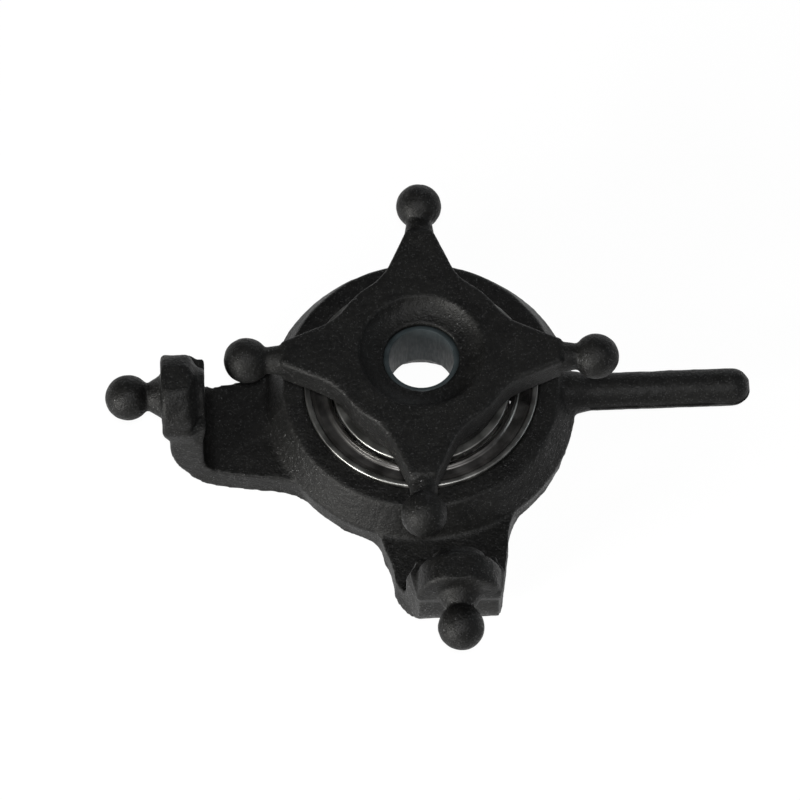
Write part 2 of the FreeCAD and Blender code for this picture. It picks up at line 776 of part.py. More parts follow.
def make_outer_ring():
    """Non-rotating moulding: ring, two servo arms with ball studs, and the anti-rotation pin."""
    body = new_body("outer_ring")
    arm_features = add_servo_arm(body)
    repeat_round(body, "two_servo_arms", arm_features, dim(SERVO_ARMS), d.servo_arm_spread)

    pin = new_sketch(body, "pin_section", XZ, up=d.pin_height)
    pin.AttachmentOffset.Rotation.Axis = FreeCAD.Vector(0, 1, 0)
    pin.setExpression("AttachmentOffset.Rotation.Angle", (-d.servo_arm_turn).text)
    outline(
        pin,
        [
            (bearing_radius, 0),
            (d.pin_end, 0),
            (d.pin_end, d.pin_radius - d.pin_nose),
            (d.pin_end - d.pin_nose, d.pin_radius),
            (d.pin_straight_start, d.pin_radius),
            (ring_radius, d.pin_root_radius),
            (bearing_radius, d.pin_root_radius),
        ],
        {2: (LEFT, d.pin_nose)},
    )
    turn(body, pin, axis="H_Axis")

    skin = new_sketch(body, "ring_section", XZ)
    outline(
        skin,
        [
            (0, d.ring_bottom),
            (foot_radius, d.ring_bottom),
            (waist_radius, web_top),
            (ring_radius, ring_top - d.ring_edge),
            (ring_radius - d.ring_edge, ring_top),
            (0, ring_top),
        ],
    )
    turn(body, skin)

    seat = new_sketch(body, "bearing_seat_section", XZ)
    seat_radius = bearing_radius + d.press_gap
    above = d.servo_ball_height + 1
    outline(
        seat,
        [
            (0, d.ring_bottom - 1),
            ((bearing_radius - d.race_seat_width), d.ring_bottom - 1),
            ((bearing_radius - d.race_seat_width), bearing_bottom),
            (seat_radius, bearing_bottom),
            (seat_radius, above),
            (0, above),
        ],
    )
    turn(body, seat, cut=True)
    body.Placement.Rotation.Axis = FreeCAD.Vector(0, 0, 1)
    body.setExpression("Placement.Rotation.Angle", d.servo_arm_turn.text)
    return body


# --- Assembly and files ---------------------------------------------------------------------------------------------


def check_features(body):
    """Stop if a feature of a body is broken, adds nothing or cuts nothing."""
    volume = 0.0
    for feature in body.Group:
        if not feature.isDerivedFrom("PartDesign::Feature"):
            continue
        now = feature.Shape.Volume
        if abs(now - volume) < TOUCH:
            raise RuntimeError(f"{body.Label}: {feature.Name} changes nothing")
        if feature.isDerivedFrom("PartDesign::ProfileBased"):
            grows = feature.TypeId in ("PartDesign::Pad", "PartDesign::Revolution")
            if (now > volume) != grows:
                raise RuntimeError(f"{body.Label}: {feature.Name} points the wrong way")
        volume = now


def check_and_write(pieces):
    """Check every object and every piece, then write one STEP file for each piece."""
    for thing in doc.Objects:
        if "Invalid" in thing.State or "Error" in thing.State:
            raise RuntimeError(f"{thing.Name}: {thing.State}")
    for piece in pieces:
        if piece.Shape.isNull() or not piece.Shape.isValid() or len(piece.Shape.Solids) != 1:
            raise RuntimeError(f"{piece.Label}: its shape isn't one valid solid")
        if piece.isDerivedFrom("PartDesign::Body"):
            check_features(piece)
    os.makedirs("parts", exist_ok=True)
    for piece in pieces:
        piece.Shape.exportStep(f"parts/{piece.Label}.step")
        print(f"{piece.Label}: {piece.Shape.Volume:.2f} mm3")


swashplate = [
    make_outer_ring(),
    make_outer_race(),
    make_shield("upper_shield", 1),
    make_shield("lower_shield", -1),
    make_shield_clip("upper_shield_clip", 1),
    make_shield_clip("lower_shield_clip", -1),
    make_ball_cage(),
    *make_bearing_balls(),
    make_inner_race(),
    make_star(),
    make_hub_retainer(),
    make_pivot_ball(),
]
doc.recompute()
check_and_write(swashplate)
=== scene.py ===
# %% [markdown]
# # A small helicopter swashplate
#
# The part turns the sticks' commands into blade pitch. A ring that doesn't turn is tilted by two
# servos. Inside it a ball bearing carries a four-armed star that turns with the rotor. Both are moulded
# in glass-filled black nylon.
#
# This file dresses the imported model. It loads the frame and gives every piece a finish. It builds the
# pieces whose soft moulded or tumbled form the plain solids can't show, and sets the lamps and the
# camera. Blender's lengths are metres, so a length in millimetres is multiplied by MM.

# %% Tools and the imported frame
import math

import bpy
import numpy as np
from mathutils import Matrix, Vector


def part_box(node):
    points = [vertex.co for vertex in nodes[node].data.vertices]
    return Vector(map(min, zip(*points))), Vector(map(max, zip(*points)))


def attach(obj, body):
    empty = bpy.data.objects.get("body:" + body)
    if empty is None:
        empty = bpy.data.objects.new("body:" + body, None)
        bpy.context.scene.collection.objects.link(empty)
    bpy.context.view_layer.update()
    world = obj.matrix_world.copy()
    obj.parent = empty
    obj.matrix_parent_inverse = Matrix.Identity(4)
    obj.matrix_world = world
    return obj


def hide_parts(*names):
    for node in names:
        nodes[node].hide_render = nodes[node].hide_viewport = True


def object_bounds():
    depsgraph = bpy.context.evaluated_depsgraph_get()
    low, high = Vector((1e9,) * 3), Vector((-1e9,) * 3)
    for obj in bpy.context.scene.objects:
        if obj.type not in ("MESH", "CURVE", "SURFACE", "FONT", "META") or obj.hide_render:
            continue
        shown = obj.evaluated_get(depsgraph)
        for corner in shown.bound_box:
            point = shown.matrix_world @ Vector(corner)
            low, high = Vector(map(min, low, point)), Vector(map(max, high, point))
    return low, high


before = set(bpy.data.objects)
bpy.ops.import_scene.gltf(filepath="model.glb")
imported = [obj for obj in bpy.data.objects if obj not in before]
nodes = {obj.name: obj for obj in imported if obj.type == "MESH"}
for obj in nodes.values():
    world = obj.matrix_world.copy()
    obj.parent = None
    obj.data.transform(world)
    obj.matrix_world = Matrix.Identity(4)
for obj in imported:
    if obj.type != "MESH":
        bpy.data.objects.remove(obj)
cad_low, cad_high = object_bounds()
MM = 0.001

# %% [markdown]
# ## Finishes
# A finish is a small tree of nodes that ends in one Principled shader. Patterns are read in Object
# coordinates, so they stay on a piece when it tilts or turns. A helper adds a node and fills its
# sockets, so that each finish reads like a recipe.

# %% Helpers for a finish
class Finish:
    """A material under construction: add() makes a node, feed() fills or links a socket."""

    def __init__(self, name):
        self.material = bpy.data.materials.new(name)
        self.material.use_nodes = True
        self.tree = self.material.node_tree
        self.shader = self.tree.nodes["Principled BSDF"]
        self.place = self.add("ShaderNodeTexCoord").outputs["Object"]

    def add(self, kind, settings=None, **inputs):
        """Make a node, with its settings and the values or links of its input sockets."""
        node = self.tree.nodes.new(kind)
        for name, value in (settings or {}).items():
            setattr(node, name, value)
        for name, value in inputs.items():
            self.feed(node.inputs[name.replace("_", " ")], value)
        return node

    def feed(self, socket, value):
        """Give an input socket a number, a colour or a link."""
        if isinstance(value, bpy.types.NodeSocket):
            self.tree.links.new(value, socket)
        else:
            socket.default_value = value

    def set(self, **inputs):
        """Fill sockets of the shader itself."""
        for name, value in inputs.items():
            self.feed(self.shader.inputs[name.replace("_", " ")], value)

    def noise(self, size, detail=2.0, roughness=0.5, vector=None):
        """Noise whose spots are about size metres across, as a value around 0.5."""
        node = self.add("ShaderNodeTexNoise", Scale=1 / size, Detail=detail, Roughness=roughness)
        self.feed(node.inputs["Vector"], vector or self.place)
        return node.outputs["Fac"]

    def fit(self, value, low, high, to_low, to_high):
        """Carry a value from one range to another, and clip it there."""
        node = self.add("ShaderNodeMapRange", Value=value, From_Min=low, From_Max=high)
        node.inputs["To Min"].default_value = to_low
        node.inputs["To Max"].default_value = to_high
        return node.outputs["Result"]

    def mix(self, share, first, second):
        """Blend two colours by a share."""
        node = self.add("ShaderNodeMix", {"data_type": "RGBA"})
        self.feed(node.inputs[0], share)
        self.feed(node.inputs[6], first)
        self.feed(node.inputs[7], second)
        return node.outputs[2]

    def math(self, operation, first, second=0.0):
        """One arithmetic step."""
        node = self.add("ShaderNodeMath", {"operation": operation})
        self.feed(node.inputs[0], first)
        self.feed(node.inputs[1], second)
        return node.outputs[0]

    def bump(self, height, distance):
        """Turn a height into a tilted normal; distance is what a height of 1 stands for."""
        node = self.add("ShaderNodeBump", Height=height, Distance=distance, Strength=1.0)
        return node.outputs["Normal"]


def grey(value, tint=(1.0, 1.0, 1.0)):
    """A colour with alpha from a grey value and a tint."""
    return tuple(value * part for part in tint) + (1.0,)


print("a middle grey is", grey(0.5))

# %% [markdown]
# ### Black glass-filled nylon
# The moulding compound holds short glass fibres. They leave a grainy matt skin, with tiny bright points
# where a fibre lies open. Three layers make it: a broad mottling, a grain of two sizes that tilts the
# normal, and a few small cells that each get a random normal of their own, so that some of them catch
# the lamp. White dots would be simpler, but they would shine from every side, and a real fibre end
# glints from one side only.

# %% Black nylon
MOTTLE_SIZE, GRAIN_SIZE, PORE_SIZE, FIBRE_SIZE = 2.2 * MM, 0.34 * MM, 0.14 * MM, 0.10 * MM
GRAIN_DEPTH = 0.07 * MM
FIBRE_CHANCE, FIBRE_EXTENT = (0.84, 0.86), (0.35, 0.5)
FIBRE_TILT, FIBRE_POLISH = 0.75, 0.34


def black_nylon():
    """Dark matt plastic with grain, mottling and glittering fibre ends.

    Each cell has a random colour. Its red says whether the cell holds a fibre end. All three parts, less a
    half, are the way in which that fibre end leans.
    """
    finish = Finish("black_nylon")
    mottle = finish.noise(MOTTLE_SIZE, detail=4, roughness=0.6)
    grain = finish.noise(GRAIN_SIZE, detail=3, roughness=0.6)
    pores = finish.noise(PORE_SIZE, detail=2)
    cells = finish.add("ShaderNodeTexVoronoi", Scale=1 / FIBRE_SIZE)
    finish.feed(cells.inputs["Vector"], finish.place)
    lot = finish.add("ShaderNodeSeparateColor", Color=cells.outputs["Color"]).outputs["Red"]
    chosen = finish.fit(lot, *FIBRE_CHANCE, 0.0, 1.0)
    near = finish.fit(cells.outputs["Distance"], *FIBRE_EXTENT, 1.0, 0.0)
    fibre = finish.math("MULTIPLY", chosen, near)
    cloud = finish.fit(mottle, 0.3, 0.7, 0, 1)
    base = finish.mix(cloud, grey(0.0020), grey(0.0040, (1, 0.99, 0.92)))
    base = finish.mix(finish.fit(grain, 0.45, 0.8, 0, 0.5), base, grey(0.010, (1, 1, 0.96)))
    finish.set(Base_Color=finish.mix(fibre, base, grey(0.034)))
    rough = finish.fit(mottle, 0.3, 0.7, 0.46, 0.60)
    finish.set(Roughness=finish.math("SUBTRACT", rough, finish.math("MULTIPLY", fibre, FIBRE_POLISH)))
    height = finish.math("ADD", grain, finish.math("MULTIPLY", pores, 0.6))
    rough_normal = finish.bump(height, GRAIN_DEPTH)
    toss = finish.add("ShaderNodeVectorMath", {"operation": "SUBTRACT"})
    finish.feed(toss.inputs[0], cells.outputs["Color"])
    toss.inputs[1].default_value = (0.5, 0.5, 0.5)
    tilt = finish.math("MULTIPLY", fibre, FIBRE_TILT)
    lean = finish.add("ShaderNodeVectorMath", {"operation": "SCALE"}, Scale=tilt)
    finish.feed(lean.inputs[0], toss.outputs[0])
    tilted = finish.add("ShaderNodeVectorMath", {"operation": "ADD"})
    finish.feed(tilted.inputs[0], rough_normal)
    finish.feed(tilted.inputs[1], lean.outputs[0])
    unit = finish.add("ShaderNodeVectorMath", {"operation": "NORMALIZE"})
    finish.feed(unit.inputs[0], tilted.outputs[0])
    finish.set(Normal=unit.outputs[0])
    finish.shader.inputs["IOR"].default_value = 1.5
    finish.shader.inputs["Specular IOR Level"].default_value = 0.16
    return finish.material


nylon = black_nylon()
print("made", nylon.name, "from", len(nylon.node_tree.nodes), "nodes")

# %% [markdown]
# ### Bearing steel
# The races are turned, hardened and ground, so fine lines run round the axis. The shields and the clips
# are blackened, so they are darker. On the lapped balls the lines are almost gone. Lines could be
# painted on, but noise read at (distance to the axis, 0, height) makes them with no seam, because it
# has the same value all the way round.

# %% Steel finishes
def steel(name, tone, rough_low, rough_high, line=0.05 * MM, depth=0.003 * MM, stain=0.3):
    """Metal with fine turned rings round the axis and a faint film of oil."""
    finish = Finish(name)
    parts = finish.add("ShaderNodeSeparateXYZ", Vector=finish.place).outputs
    flat = finish.add("ShaderNodeCombineXYZ", X=parts["X"], Y=parts["Y"])
    radius = finish.add("ShaderNodeVectorMath", {"operation": "LENGTH"})
    finish.feed(radius.inputs[0], flat.outputs[0])
    ring_place = finish.add("ShaderNodeCombineXYZ", X=radius.outputs["Value"], Z=parts["Z"]).outputs[0]
    lines = finish.noise(line, detail=3, vector=ring_place)
    film = finish.noise(1.4 * MM, detail=3)
    dark = tuple(value * (1 - stain) for value in tone) + (1.0,)
    bright = tuple(tone) + (1.0,)
    finish.set(Base_Color=finish.mix(finish.fit(film, 0.35, 0.65, 0, 1), dark, bright))
    rough = finish.fit(film, 0.3, 0.7, rough_low, rough_high)
    finish.set(Roughness=rough, Normal=finish.bump(lines, depth))
    finish.shader.inputs["Metallic"].default_value = 1.0
    return finish.material


race_steel = steel("race_steel", (0.27, 0.27, 0.26), 0.30, 0.44)
shield_steel = steel("shield_steel", (0.17, 0.165, 0.16), 0.26, 0.40, line=0.12 * MM)
clip_steel = steel("clip_steel", (0.13, 0.125, 0.12), 0.30, 0.45)
ball_steel = steel("ball_steel", (0.72, 0.72, 0.74), 0.05, 0.10, depth=0.0005 * MM, stain=0.1)
print("made", race_steel.name, shield_steel.name, clip_steel.name, ball_steel.name)

# %% [markdown]
# ### The other plastics
# The pivot ball is a smooth blue-grey acetal that slides on the mast. The cage is a paler nylon. Both
# carry only a faint mottling and fine scuffs. The noise for the scuffs is drawn out along the axis, as
# the sliding does.

# %% Smooth plastics
def smooth_plastic(name, dark, light, rough_low, rough_high, scuff, gloss):
    """Plastic with a faint cloudiness and scuffs along the axis."""
    finish = Finish(name)
    cloud = finish.noise(1.2 * MM, detail=3)
    squeeze = finish.add("ShaderNodeMapping", Vector=finish.place, Scale=(1.0, 1.0, 0.15)).outputs[0]
    scratch = finish.noise(0.12 * MM, detail=2, vector=squeeze)
    finish.set(Base_Color=finish.mix(finish.fit(cloud, 0.3, 0.7, 0, 1), dark, light))
    finish.set(Roughness=finish.fit(scratch, 0.35, 0.65, rough_low, rough_high))
    finish.set(Normal=finish.bump(scratch, scuff))
    finish.shader.inputs["Specular IOR Level"].default_value = gloss
    return finish.material


ball_acetal = smooth_plastic("ball_acetal", grey(0.024, (0.75, 1, 1.08)), grey(0.040, (0.80, 1, 1.08)),
                             rough_low=0.42, rough_high=0.55, scuff=0.002 * MM, gloss=0.14)
cage_nylon = smooth_plastic("cage_nylon", grey(0.45, (1, 0.94, 0.78)), grey(0.6, (1, 0.94, 0.8)),
                            rough_low=0.4, rough_high=0.55, scuff=0.004 * MM, gloss=0.5)
print("made", ball_acetal.name, "and", cage_nylon.name)

# %% [markdown]
# ### Which finish goes where
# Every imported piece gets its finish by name, and the twelve bearing balls share the polished steel. A
# piece made here gets a finish too, and says which body it rides on. Where it is a better form of a
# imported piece, it replaces it.

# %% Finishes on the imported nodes
FINISH_OF = {
    "outer_ring": nylon,
    "star": nylon,
    "hub_retainer": nylon,
    "outer_race": race_steel,
    "inner_race": race_steel,
    "upper_shield": shield_steel,
    "lower_shield": shield_steel,
    "upper_shield_clip": clip_steel,
    "lower_shield_clip": clip_steel,
    "ball_cage": cage_nylon,
    "pivot_ball": ball_acetal,
}


def dress(piece, material):
    """Put one finish on a whole mesh."""
    piece.data.materials.clear()
    piece.data.materials.append(material)


def make_piece(name, mesh, material, body, node=None):
    """Make a finished mesh a piece that rides on a body, and let it replace a node where one is given."""
    mesh.name = name
    piece = bpy.data.objects.new(name, mesh)
    bpy.context.scene.collection.objects.link(piece)
    dress(piece, material)
    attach(piece, body)
    if node:
        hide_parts(node)
    print(name, "has", sum(len(face.vertices) - 2 for face in mesh.polygons), "triangles")


for name, node in nodes.items():
    dress(node, FINISH_OF.get(name, ball_steel))
print("dressed", len(nodes), "nodes")

# %% [markdown]
# ## Mouldings with soft edges
# A moulded part has no knife edges: steel moulds are hand finished, and the plastic shrinks as it
# cools. A bevel would need clean edges, which a mesh of loose triangles lacks. So each black piece gets
# a new skin. A copy of its solid is welded and covered with an even grid of small squares. Then the
# grid is smoothed as a low-pass filter smooths a sound: a step towards the neighbours' mean rounds the
# edges, and a slightly longer step back keeps the volume. Last come slow waves, the slight unevenness
# of a cooled surface.

# %% An even skin over a solid
WELD_DISTANCE = 1e-7


def even_skin(node, voxel):
    """A closed mesh of squares, voxel metres wide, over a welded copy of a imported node, and its points."""
    copy = bpy.data.objects.new("copy", nodes[node].data.copy())
    bpy.context.scene.collection.objects.link(copy)
    copy.modifiers.new("weld", "WELD").merge_threshold = WELD_DISTANCE
    remesh = copy.modifiers.new("squares", "REMESH")
    remesh.mode, remesh.voxel_size, remesh.use_smooth_shade = "VOXEL", voxel, True
    bpy.context.view_layer.update()
    mesh = bpy.data.meshes.new_from_object(copy.evaluated_get(bpy.context.evaluated_depsgraph_get()))
    bpy.data.objects.remove(copy)
    points = np.empty(len(mesh.vertices) * 3)
    mesh.vertices.foreach_get("co", points)
    return mesh, points.reshape(-1, 3)


print("points nearer than", round(WELD_DISTANCE / MM, 5), "mm become one")

# %% Smoothing, as a low-pass filter
PULL, PUSH = 0.6, 0.62


def neighbour_mean(points, edges):
    """Mean place of each point's neighbours along the edges."""
    ends = np.concatenate([edges[:, 0], edges[:, 1]])
    others = np.concatenate([edges[:, 1], edges[:, 0]])
    count = np.bincount(ends, minlength=len(points))
    sums = [np.bincount(ends, points[others, axis], len(points)) for axis in range(3)]
    return np.stack(sums, 1) / count[:, None]


def soften(mesh, points, rounds):
    """In each round, move points PULL of the way to their neighbours' mean, then PUSH of the way back."""
    edges = np.empty(len(mesh.edges) * 2, np.int32)
    mesh.edges.foreach_get("vertices", edges)
    edges = edges.reshape(-1, 2)
    for _ in range(rounds):
        for share in (PULL, -PUSH):
            points = points + share * (neighbour_mean(points, edges) - points)
    return points


print("one round leaves", round((1 - PULL) * (1 + PUSH), 2), "of a fine ripple")

# %% Slow waves on a cooled surface
WAVES = 40


def waves(points, size, seed):
    """Sum of sine waves in random directions, all about size metres long, scaled to a spread of 1."""
    random = np.random.default_rng(seed)
    directions = random.normal(size=(WAVES, 3))
    directions /= np.linalg.norm(directions, axis=1)[:, None]
    directions *= 2 * np.pi / size * random.uniform(0.7, 1.4, WAVES)[:, None]
    phases = random.uniform(0, 2 * np.pi, WAVES)
    return np.sin(points @ directions.T + phases).sum(1) / math.sqrt(WAVES / 2)


print("each surface is the sum of", WAVES, "waves")

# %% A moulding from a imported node
SOCKET_RADIUS = 3.73 * MM
BROAD_WAVE, BROAD_HEIGHT = 2.4 * MM, 0.009 * MM
SHORT_WAVE, SHORT_HEIGHT = 0.8 * MM, 0.005 * MM


def store(mesh, points):
    """Write moved points back into a mesh."""
    mesh.vertices.foreach_set("co", points.astype(np.float32).ravel())
    mesh.update()


def normals_of(mesh):
    """The points' normals as an array."""
    normals = np.empty(len(mesh.vertices) * 3)
    mesh.vertices.foreach_get("normal", normals)
    return normals.reshape(-1, 3)


def moulding(name, node, body, voxel, rounds, seed, settle=None):
    """New skin for a node: even grid, soft edges, waves; kept clear of the ball and in the node's box."""
    mesh, points = even_skin(node, voxel)
    points = soften(mesh, points, rounds)
    if settle is not None:
        points = settle(points)
    store(mesh, points)
    broad, short = waves(points, BROAD_WAVE, seed), waves(points, SHORT_WAVE, seed + 1)
    lift = BROAD_HEIGHT * broad + SHORT_HEIGHT * short
    points = points + normals_of(mesh) * lift[:, None]
    reach = np.linalg.norm(points, axis=1)[:, None]
    points = np.where(reach < SOCKET_RADIUS, points * SOCKET_RADIUS / reach, points)
    low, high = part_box(node)
    store(mesh, np.clip(points, np.array(low), np.array(high)))
    make_piece(name, mesh, nylon, body, node)


print("skins are uneven by about", round(math.hypot(BROAD_HEIGHT, SHORT_HEIGHT) / MM, 3), "mm")

# %% [markdown]
# ### How the servo arms came out of the mould
# Thick plastic cools last and shrinks most. At the end of each servo arm the wall below the crown has
# sunk towards the ring, and the crown bulges over it with lumps of flash. Sculpting by hand could show
# that, but written shifts come out the same on every run. They are functions of three numbers: how far
# along the arm a point lies, how far across it, and how high. A soft step between two limits fades each
# shift out. Lengths here are in millimetres, apart from those that carry MM.

# %% One arm's shifts
ARM_OFFSET = 2.05
BALL_HEIGHT = 1.6
WALL_SINK = 0.5
CROWN_BULGE = 0.75
CROWN_RISE, CROWN_DROP = 0.18, 0.40
LUMP_SIZE, LUMP_HEIGHT = 2.2 * MM, 0.035
FRONT_FULLNESS = 0.60


def ease(value, start, end):
    """0 before start, 1 after end, and the smooth curve 3t^2 - 2t^3 between them."""
    t = np.clip((value - start) / (end - start), 0, 1)
    return t * t * (3 - 2 * t)


def arm_shifts(along, across, up, lumps, fullness):
    """Shifts along an arm, across it and up, in mm.

    Below the crown the wall sinks towards the ring. The crown's inner side bulges inwards. Its outer part
    grows away from the ball stud's axis, with lumps, and its inner part shrinks towards that axis. The
    arm's negative side is fuller by what fullness says.
    """
    arm = ease(along, 14.0, 17.2) * (1 - ease(np.abs(across), 4.4, 5.2))
    above = ease(up, -0.5, 1.3)
    crown = above * arm * (1 - ease(along, 19.9, 20.1))
    wall = (1 - above) * arm * (1 - ease(along, 19.9, 20.7)) * ease(up, -6.6, -4.8)
    sunk = -WALL_SINK * wall - CROWN_BULGE * crown * (1 - ease(along, 17.3, 19.7))
    spread = np.hypot(across, up - BALL_HEIGHT) + 1e-6
    rise, drop = CROWN_RISE * ease(along, 17.9, 18.3), CROWN_DROP * (1 - ease(along, 17.6, 18.2))
    grow = crown * (lumps + rise - drop)
    grow = grow * ease(spread, 1.9, 2.6)
    full = fullness * ease(-across, 0.5, 3.0) * ease(along, 11.0, 13.0) * (1 - ease(along, 15.5, 19.8))
    full = full * (1 - ease(up, -1.5, 0.5)) * (np.abs(across) < 6.5)
    return sunk, grow * across / spread - full, grow * (up - BALL_HEIGHT) / spread


print("walls sink by", WALL_SINK, "mm and crowns bulge by", CROWN_BULGE, "mm")

# %% Both arms, and the film at the foot
FILM_SIZE, FILM_HEIGHT = 1.5 * MM, 0.045


def settle_arms(points):
    """Shift the points of the left and the front arm, then push the foot's outer edge out by a film."""
    x, y, z = (points / MM).T
    left = -x, y + ARM_OFFSET
    front = -y, x - ARM_OFFSET
    sunk, aside, raised = arm_shifts(*left, z, LUMP_HEIGHT * waves(points, LUMP_SIZE, 11), 0.0)
    x, y, z = x - sunk, y + aside, z + raised
    sunk, aside, raised = arm_shifts(*front, z, LUMP_HEIGHT * waves(points, LUMP_SIZE, 12), FRONT_FULLNESS)
    x, y, z = x + aside, y - sunk, z + raised
    film = FILM_HEIGHT * np.maximum(0, waves(points, FILM_SIZE, 17)) * (1 - ease(z, -6.7, -6.3))
    away = np.hypot(x, y)
    stretch = 1 + ease(away, 10.9, 11.3) * film / away
    settled = np.stack([x * stretch, y * stretch, z], 1) * MM
    print("arms settle by up to", round(np.linalg.norm(settled - points, axis=1).max() / MM, 2), "mm")
    return settled


print("film at the foot: about", FILM_HEIGHT, "mm")

# %% [markdown]
# ### The three mouldings
# The ring carries the servo arms and the pin. The star carries the link arms and the hub. The retainer
# is the plug that closes the hub from below. A finer grid shows smaller edges but makes more triangles,
# so the width of its squares is chosen to stay under 200,000 in each piece, and a finer grid gets more
# rounds for the same softness.

# %% The three mouldings
moulding("ring_moulding", "outer_ring", "outer_ring", voxel=0.165 * MM, rounds=8, seed=3,
         settle=settle_arms)
moulding("star_moulding", "star", "star", voxel=0.13 * MM, rounds=11, seed=5)
moulding("retainer_moulding", "hub_retainer", "star", voxel=0.16 * MM, rounds=8, seed=7)

# %% [markdown]
# ## The parting line on the pin
# The two halves of the mould meet in the pin's middle plane. A thin film of plastic creeps between them
# and stays as a fine ridge along both sides and round the nose. A grid as fine as this ridge would be
# heavy over the whole ring, so it is a piece of its own: a small ellipse carried along the pin's
# outline, half of it sunk in the pin.

# %% The pin's outline
PIN_Z = -4.0 * MM
PIN_RADIUS = 1.45 * MM
PIN_START = 13.0 * MM
PIN_END = 25.4 * MM
NOSE = 1.35 * MM


def pin_outline(count):
    """Outline of the pin in its middle plane: points, outward directions and the way run so far.

    It goes along one side, round the nose, and back. The sides are straight, and so is the flat of the
    nose. Each corner is a quarter circle: centre + NOSE * (sine, cosine) of an angle.
    """
    straight = PIN_END - NOSE - PIN_START
    quarter = NOSE * math.pi / 2
    flat = 2 * (PIN_RADIUS - NOSE)
    length = 2 * straight + 2 * quarter + flat
    run = np.linspace(0, length, count)
    half = np.minimum(run, length - run)
    side = np.where(run < length / 2, -1.0, 1.0)
    angle = np.clip((half - straight) / NOSE, 0, math.pi / 2)
    end = np.clip(half - straight - quarter, 0, flat / 2)
    across = np.minimum(half, straight) + PIN_START + NOSE * np.sin(angle)
    away = (PIN_RADIUS - NOSE) + NOSE * np.cos(angle) - end
    path = np.stack([across, side * away], 1)
    out = np.stack([np.sin(angle), side * np.cos(angle)], 1)
    return path, out, run


path, out, run = pin_outline(260)
print("the parting line is", round(run[-1] / MM, 1), "mm long")

# %% Pin flash
RIDGE_HEIGHT, RIDGE_UNEVEN, RIDGE_HALF_WIDTH = 0.075 * MM, 0.02 * MM, 0.05 * MM


def ribbon(name, rings):
    """A mesh from an array of rings of points, with one face at each end."""
    count, sides = rings.shape[:2]
    index = np.arange(count * sides).reshape(count, sides)
    here, ahead = index[:-1], index[1:]
    quads = np.stack([here, ahead, np.roll(ahead, -1, 1), np.roll(here, -1, 1)], -1).reshape(-1, 4)
    faces = quads.tolist() + [index[0].tolist(), index[-1][::-1].tolist()]
    mesh = bpy.data.meshes.new(name)
    mesh.from_pydata(rings.reshape(-1, 3).tolist(), [], faces)
    mesh.polygons.foreach_set("use_smooth", [True] * len(mesh.polygons))
    return mesh


section = np.linspace(0, 2 * np.pi, 10, endpoint=False)
along = np.stack([run, run * 0, run * 0], 1)
height = RIDGE_HEIGHT + RIDGE_UNEVEN * waves(along, 2.0 * MM, 21)
rings = np.empty((len(run), len(section), 3))
rings[..., 0:2] = path[:, None] + out[:, None] * (np.cos(section)[None, :, None] * height[:, None, None])
rings[..., 2] = PIN_Z + RIDGE_HALF_WIDTH * np.sin(section)[None]
rings[..., 0] = np.minimum(rings[..., 0], PIN_END)
make_piece("pin_flash", ribbon("pin_flash", rings), nylon, "outer_ring")

# %% [markdown]
# ## Turned pieces of the bearing
# Races, shields and the pivot ball are turned or stamped round one axis. Each is a closed outline of
# radius and height that goes once round the axis. On real steel no corner is sharp: a tumbled edge of a
# tenth of a millimetre draws the thin bright line that the eye reads as metal. A bevel modifier could
# round the edges, but each corner has a rounding of its own, so the outline itself gets a small curve
# at each corner. Its lengths are in millimetres.

# %% Outlines with rounded corners
def rounded(corners, steps=5):
    """A closed outline from corners (radius, height, rounding), in mm.

    Each corner is a quadratic curve from one side to the other: (1-t)^2 start + 2t(1-t) corner + t^2 end.
    """
    corners = np.array(corners, float)
    place, size = corners[:, :2], corners[:, 2:]
    to_last = np.roll(place, 1, 0) - place
    to_next = np.roll(place, -1, 0) - place
    start = place + to_last / np.linalg.norm(to_last, axis=1)[:, None] * size
    end = place + to_next / np.linalg.norm(to_next, axis=1)[:, None] * size
    t = np.linspace(0, 1, steps)[None, :, None]
    curve = (1 - t) ** 2 * start[:, None] + 2 * t * (1 - t) * place[:, None] + t ** 2 * end[:, None]
    curve = curve.reshape(-1, 2)
    step = np.linalg.norm(curve - np.roll(curve, -1, 0), axis=1)
    return curve[step > 1e-6]


def arc(radius, height, reach, start, end, steps=15):
    """Corners with no rounding along an arc: (radius + reach cos a, height + reach sin a), a in degrees."""
    angle = np.radians(np.linspace(start, end, steps))
    return [(radius + reach * math.cos(a), height + reach * math.sin(a), 0.0) for a in angle]


print("a rounded triangle has", len(rounded([(0, 0, 0.1), (1, 0, 0.1), (0, 1, 0.1)])), "points")

# %% Once round the axis
STEPS_ROUND = 240


def turned(name, node, body, material, outline):
    """Carry an outline (radius, height) once round the axis: (r cos a, r sin a, h) for each angle a."""
    angle = np.linspace(0, 2 * np.pi, STEPS_ROUND, endpoint=False)[:, None]
    radius, height = outline[None, :, 0] * MM, outline[None, :, 1] * MM
    grid = np.stack([radius * np.cos(angle), radius * np.sin(angle), height + 0 * angle], -1)
    index = np.arange(grid.shape[0] * grid.shape[1]).reshape(grid.shape[:2])
    ahead, beside = np.roll(index, -1, 0), np.roll(index, -1, 1)
    corner = np.roll(ahead, -1, 1)
    quads = np.stack([index, ahead, corner, beside], -1).reshape(-1, 4)
    mesh = bpy.data.meshes.new(name)
    mesh.from_pydata(grid.reshape(-1, 3).tolist(), [], quads.tolist())
    mesh.polygons.foreach_set("use_smooth", [True] * len(mesh.polygons))
    make_piece(name, mesh, material, body, node)


print("one step round the axis is", 360 / STEPS_ROUND, "degrees")

# %% [markdown]
# ### The two races
# Each race is a ring with a round track for the balls. The outer one has a step at both ends, which
# holds a shield and its clip. A torus cut from a tube would give the same form, but one outline is
# simpler, and its edges are rounded with it. The track is an arc a little wider than a ball.

